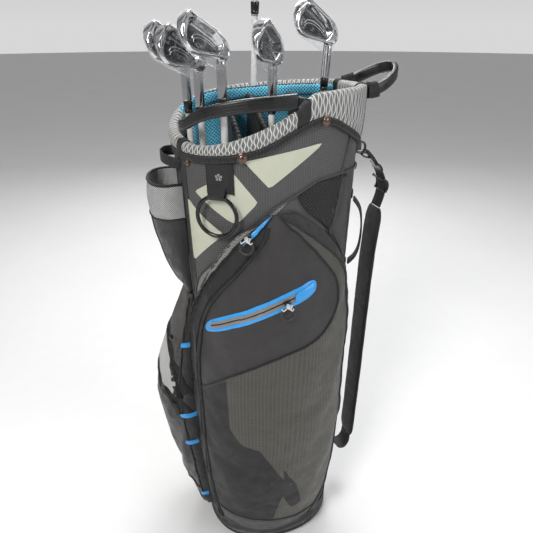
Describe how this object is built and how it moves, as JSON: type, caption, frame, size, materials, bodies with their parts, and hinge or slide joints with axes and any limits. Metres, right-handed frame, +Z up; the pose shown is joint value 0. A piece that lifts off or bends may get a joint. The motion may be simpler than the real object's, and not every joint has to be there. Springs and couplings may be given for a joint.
{
  "type": "golf club set",
  "caption": "Cart bag with padded top cuff, bar dividers, zipped pockets, shoulder strap and towel ring, holding irons and a fairway wood that lift out.",
  "frame": {"origin": "middle of the underside of the base tray, on the axis of the tube", "axes": "+Z up the bag; +X to the spine and strap; -X to the ball pockets; -Y to the flank with the apparel pocket and towel ring"},
  "size_m": [0.4251, 0.3207, 1.0719],
  "materials": {
    "base_tray": "moulded black base",
    "body_shell": "charcoal ripstop nylon",
    "body_stays": "black rods",
    "top_ring": "moulded black collar",
    "front_handle": "moulded black, satin",
    "cuff_pad": "silver spacer mesh over foam",
    "cuff_binding": "black binding tape",
    "divider_long_bar": "blue spacer mesh over a moulded bar",
    "divider_cross_bars": "black gathered sleeve over a moulded bar",
    "divider_sheets": "blue and black divider cloth",
    "apparel_pocket": "charcoal and grey ripstop",
    "apparel_zip_track": "black zip tape",
    "apparel_zip_slider": "gunmetal",
    "apparel_zip_pull": "grey moulded ring on a cord",
    "dry_pocket_patch": "welded blue film",
    "mesh_pocket": "black mesh",
    "drink_pouch": "silver-grey cloth",
    "front_upper_pocket": "grey ripstop",
    "ball_pocket": "charcoal ripstop",
    "far_pocket": "charcoal ripstop",
    "glove_tab": "black loop pile",
    "towel_ring": "black moulded ring",
    "snap_studs": "dark nickel",
    "strap_top_ring": "black",
    "strap_hook": "black",
    "strap_webbing": "black and grey webbing",
    "strap_pad": "black padded strap",
    "spine_handle": "black webbing",
    "club_grip": "ribbed black grip",
    "club_shaft": "white lacquered graphite",
    "club_ferrule": "black",
    "club_head": "polished chrome, clear film",
    "wood_head": "black lacquered crown"
  },
  "bodies": {
    "bag": {"base_tray": "base_tray", "body_shell": "body_shell", "body_stays": "body_stays", "top_ring": "top_ring", "front_handle": "front_handle", "rear_handle": "front_handle", "cuff_pad": "cuff_pad", "cuff_binding": "cuff_binding", "divider_long_bar": "divider_long_bar", "divider_cross_bars": "divider_cross_bars", "divider_sheets": "divider_sheets", "apparel_pocket": "apparel_pocket", "apparel_zip_track": "apparel_zip_track", "dry_pocket_patch": "dry_pocket_patch", "mesh_pocket": "mesh_pocket", "drink_pouch": "drink_pouch", "front_upper_pocket": "front_upper_pocket", "ball_pocket": "ball_pocket", "far_pocket": "far_pocket", "glove_tab": "glove_tab", "snap_studs": "snap_studs", "strap_top_ring": "strap_top_ring", "spine_handle": "spine_handle"},
    "club1": {"club1_grip": "club_grip", "club1_shaft": "club_shaft", "club1_ferrule": "club_ferrule", "club1_head": "club_head"},
    "club2": {"club2_grip": "club_grip", "club2_shaft": "club_shaft", "club2_ferrule": "club_ferrule", "club2_head": "club_head"},
    "club3": {"club3_grip": "club_grip", "club3_shaft": "club_shaft", "club3_ferrule": "club_ferrule", "club3_head": "club_head"},
    "club4": {"club4_grip": "club_grip", "club4_shaft": "club_shaft", "club4_ferrule": "club_ferrule", "club4_head": "club_head"},
    "club5": {"club5_grip": "club_grip", "club5_shaft": "club_shaft", "club5_ferrule": "club_ferrule", "club5_head": "club_head"},
    "club6": {"club6_grip": "club_grip", "club6_shaft": "club_shaft", "club6_ferrule": "club_ferrule", "club6_head": "wood_head"},
    "towel_ring_body": {"towel_ring": "towel_ring"},
    "apparel_slider_body": {"apparel_zip_slider": "apparel_zip_slider"},
    "apparel_pull_body": {"apparel_zip_pull": "apparel_zip_pull"},
    "dry_slider_body": {"dry_zip_slider": "apparel_zip_slider"},
    "dry_pull_body": {"dry_zip_pull": "apparel_zip_pull"},
    "ball_slider_body": {"ball_zip_slider": "apparel_zip_slider"},
    "upper_slider_body": {"upper_zip_slider": "apparel_zip_slider"},
    "far_slider_body": {"far_zip_slider": "apparel_zip_slider"},
    "strap_body": {"strap_hook": "strap_hook", "strap_webbing": "strap_webbing", "strap_pad": "strap_pad", "strap_adjuster": "strap_hook"}
  },
  "joints": [
    {"name": "club1_lift", "type": "slide", "parent": "bag", "child": "club1", "axis": [-0.0223, -0.0023, 0.9997], "range_m": [0, 0.9]},
    {"name": "club2_lift", "type": "slide", "parent": "bag", "child": "club2", "axis": [-0.0177, -0.0035, 0.9998], "range_m": [0, 0.9]},
    {"name": "club3_lift", "type": "slide", "parent": "bag", "child": "club3", "axis": [-0.0139, -0.0058, 0.9999], "range_m": [0, 0.9]},
    {"name": "club4_lift", "type": "slide", "parent": "bag", "child": "club4", "axis": [0.0246, 0, 0.9997], "range_m": [0, 0.9]},
    {"name": "club5_lift", "type": "slide", "parent": "bag", "child": "club5", "axis": [0.0581, 0.0057, 0.9983], "range_m": [0, 0.9]},
    {"name": "club6_lift", "type": "slide", "parent": "bag", "child": "club6", "axis": [0.0304, 0.002, 0.9995], "range_m": [0, 0.9]},
    {"name": "towel_ring_swing", "type": "hinge", "parent": "bag", "child": "towel_ring_body", "pos_m": [-0.10582, -0.09665, 0.745], "axis": [-0.8229, 0.5682, 0], "range_deg": [0, 75]},
    {"name": "apparel_zip_slide", "type": "slide", "parent": "bag", "child": "apparel_slider_body", "axis": [-0.655, 0.195, -0.7301], "range_m": [0, 0.0812]},
    {"name": "apparel_pull_swing", "type": "hinge", "parent": "apparel_slider_body", "child": "apparel_pull_body", "pos_m": [-0.07327, -0.13358, 0.69212], "axis": [-0.8564, 0.5164, 0], "range_deg": [0, 80]},
    {"name": "dry_zip_slide", "type": "slide", "parent": "bag", "child": "dry_slider_body", "axis": [-0.9281, 0.1587, -0.3367], "range_m": [0, 0.081]},
    {"name": "dry_pull_swing", "type": "hinge", "parent": "dry_slider_body", "child": "dry_pull_body", "pos_m": [-0.01878, -0.16192, 0.58869], "axis": [-0.9813, 0.1923, 0], "range_deg": [0, 80]},
    {"name": "ball_zip_slide", "type": "slide", "parent": "bag", "child": "ball_slider_body", "axis": [-0.1707, 0.9853, 0], "range_m": [0, 0.0601]},
    {"name": "upper_zip_slide", "type": "slide", "parent": "bag", "child": "upper_slider_body", "axis": [-0.1094, 0.994, 0], "range_m": [0, 0.0474]},
    {"name": "far_zip_slide", "type": "slide", "parent": "bag", "child": "far_slider_body", "axis": [-1, 0, 0], "range_m": [0, 0.07]},
    {"name": "strap_swing", "type": "hinge", "parent": "bag", "child": "strap_body", "pos_m": [0.16148, -0.012, 0.778], "axis": [0.0178, 0, 0.9998], "range_deg": [-60, 60]}
  ]
}
